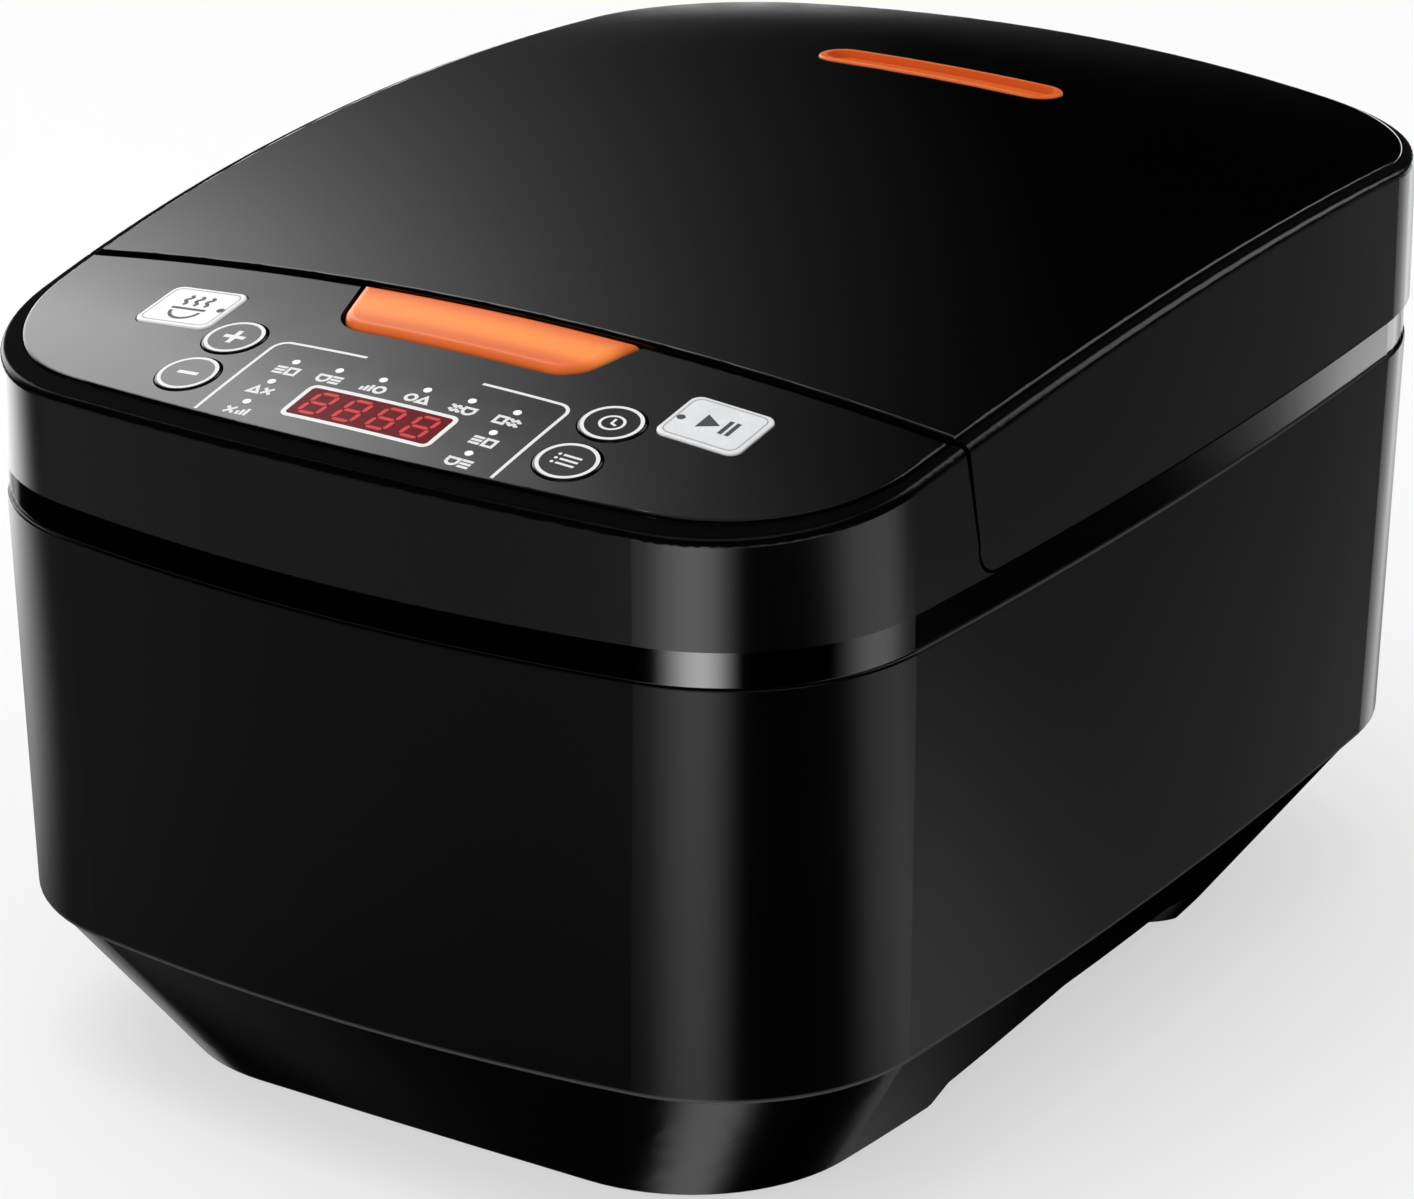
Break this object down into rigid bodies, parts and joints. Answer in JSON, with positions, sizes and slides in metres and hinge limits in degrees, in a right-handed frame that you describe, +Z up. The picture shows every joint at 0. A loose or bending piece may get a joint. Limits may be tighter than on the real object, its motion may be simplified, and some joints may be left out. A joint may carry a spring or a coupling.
{
  "type": "rice cooker",
  "caption": "Box-shaped rice cooker with round corners, a hinged domed lid, a sloping control panel, a push-button latch, a removable steam valve and a round pot over a heating plate.",
  "frame": {"origin": "middle of the footprint on the surface that the cooker stands on", "axes": "+X to the right seen from the front, +Y to the rear (the hinge side), +Z up"},
  "size_m": [0.2762, 0.3726, 0.2227],
  "materials": {
    "body_black": "semi-gloss black moulding",
    "band_black": "polished black trim",
    "base_black": "satin black moulding",
    "pad_rubber": "soft black rubber",
    "screw_steel": "plated screw",
    "frame_black": "matt black moulding",
    "casing_black": "semi-gloss black moulding",
    "panel_gloss": "polished black sheet",
    "display_red": "dark red tinted window",
    "module_black": "black display block",
    "light_white": "milky light pipe",
    "board_green": "green circuit board",
    "switch_dark": "small push switch",
    "parts_dark": "potted parts",
    "bracket_steel": "zinc plated sheet",
    "pin_steel": "ground steel",
    "spring_steel": "spring wire",
    "well_aluminium": "drawn sheet",
    "heater_aluminium": "cast and turned",
    "sensor_aluminium": "pressed cap",
    "pot_nonstick": "dark non-stick coat",
    "inlet_black": "black socket moulding",
    "pin_brass": "contact pin",
    "liner_grey": "dark grey moulding",
    "plate_aluminium": "satin sheet",
    "seal_silicone": "pale silicone",
    "orange_gloss": "glossy orange moulding",
    "hook_grey": "pale grey slippery plastic",
    "key_white": "silvery white cap",
    "key_dark": "dark cap"
  },
  "bodies": {
    "body": {"outer_shell": "body_black", "decor_band": "band_black", "base_cover": "base_black", "foot_pads": "pad_rubber", "base_screws": "screw_steel", "upper_frame": "frame_black", "front_housing": "casing_black", "control_panel": "panel_gloss", "display_window": "display_red", "display_module": "module_black", "indicator_lights": "light_white", "control_board": "board_green", "board_props": "frame_black", "key_switches": "switch_dark", "latch_bracket": "bracket_steel", "latch_pin": "pin_steel", "button_spring": "spring_steel", "power_board_bracket": "bracket_steel", "power_board": "board_green", "power_board_parts": "parts_dark", "pot_well": "well_aluminium", "heating_plate": "heater_aluminium", "heater_brackets": "bracket_steel", "sensor_holder": "bracket_steel", "sensor_spring": "spring_steel", "power_inlet": "inlet_black", "inlet_pins": "pin_brass", "hinge_pin": "pin_steel", "hinge_springs": "spring_steel"},
    "lid": {"lid_shell": "casing_black", "lid_top_panel": "panel_gloss", "lid_liner": "liner_grey", "inner_lid_plate": "plate_aluminium", "lid_gasket": "seal_silicone", "lid_catch": "bracket_steel", "steam_duct": "seal_silicone", "lid_screws": "screw_steel"},
    "steam_valve": {"steam_vent_cap": "orange_gloss", "steam_valve_box": "frame_black"},
    "release_button": {"release_button": "orange_gloss"},
    "latch_hook": {"latch_hook": "hook_grey"},
    "temperature_sensor": {"temperature_sensor": "sensor_aluminium"},
    "inner_pot": {"inner_pot": "pot_nonstick"},
    "key_left_square": {"key_left_square": "key_white"},
    "key_right_square": {"key_right_square": "key_white"},
    "key_plus": {"key_plus": "key_dark"},
    "key_minus": {"key_minus": "key_dark"},
    "key_right_upper": {"key_right_upper": "key_dark"},
    "key_right_lower": {"key_right_lower": "key_dark"}
  },
  "joints": [
    {"name": "lid_hinge", "type": "hinge", "parent": "body", "child": "lid", "pos_m": [0, 0.174, 0.1765], "axis": [-1, 0, 0], "range_deg": [0, 85]},
    {"name": "steam_valve_lift", "type": "slide", "parent": "lid", "child": "steam_valve", "axis": [0, 0, 1], "range_m": [0, 0.03]},
    {"name": "button_press", "type": "slide", "parent": "body", "child": "release_button", "axis": [0, 0, -1], "range_m": [0, 0.003], "stiffness_N_per_m": 800, "springref_m": -0.002, "deforming": ["button_spring"]},
    {"name": "latch_turn", "type": "hinge", "parent": "body", "child": "latch_hook", "pos_m": [0, -0.109, 0.175], "axis": [1, 0, 0], "range_deg": [0, 15.5]},
    {"name": "sensor_press", "type": "slide", "parent": "body", "child": "temperature_sensor", "axis": [0, 0, -1], "range_m": [0, 0.002], "stiffness_N_per_m": 600, "springref_m": -0.003, "deforming": ["sensor_spring"]},
    {"name": "pot_turn", "type": "hinge", "parent": "body", "child": "inner_pot", "pos_m": [0, 0.032, 0.05], "axis": [0, 0, 1], "continuous": true},
    {"name": "key_left_square_press", "type": "slide", "parent": "body", "child": "key_left_square", "axis": [0.0774, 0.1626, -0.9836], "range_m": [0, 0.0008], "stiffness_N_per_m": 1500, "springref_m": -0.0005},
    {"name": "key_right_square_press", "type": "slide", "parent": "body", "child": "key_right_square", "axis": [-0.0774, 0.1626, -0.9836], "range_m": [0, 0.0008], "stiffness_N_per_m": 1500, "springref_m": -0.0005},
    {"name": "key_plus_press", "type": "slide", "parent": "body", "child": "key_plus", "axis": [0.0556, 0.1737, -0.9832], "range_m": [0, 0.0008], "stiffness_N_per_m": 1500, "springref_m": -0.0005},
    {"name": "key_minus_press", "type": "slide", "parent": "body", "child": "key_minus", "axis": [0.0556, 0.1925, -0.9797], "range_m": [0, 0.0008], "stiffness_N_per_m": 1500, "springref_m": -0.0005},
    {"name": "key_right_upper_press", "type": "slide", "parent": "body", "child": "key_right_upper", "axis": [-0.0556, 0.1737, -0.9832], "range_m": [0, 0.0008], "stiffness_N_per_m": 1500, "springref_m": -0.0005},
    {"name": "key_right_lower_press", "type": "slide", "parent": "body", "child": "key_right_lower", "axis": [-0.0556, 0.1925, -0.9797], "range_m": [0, 0.0008], "stiffness_N_per_m": 1500, "springref_m": -0.0005}
  ],
  "couplings": [
    {"joint": "latch_turn", "follows": "button_press", "rad_per_m": 88}
  ]
}
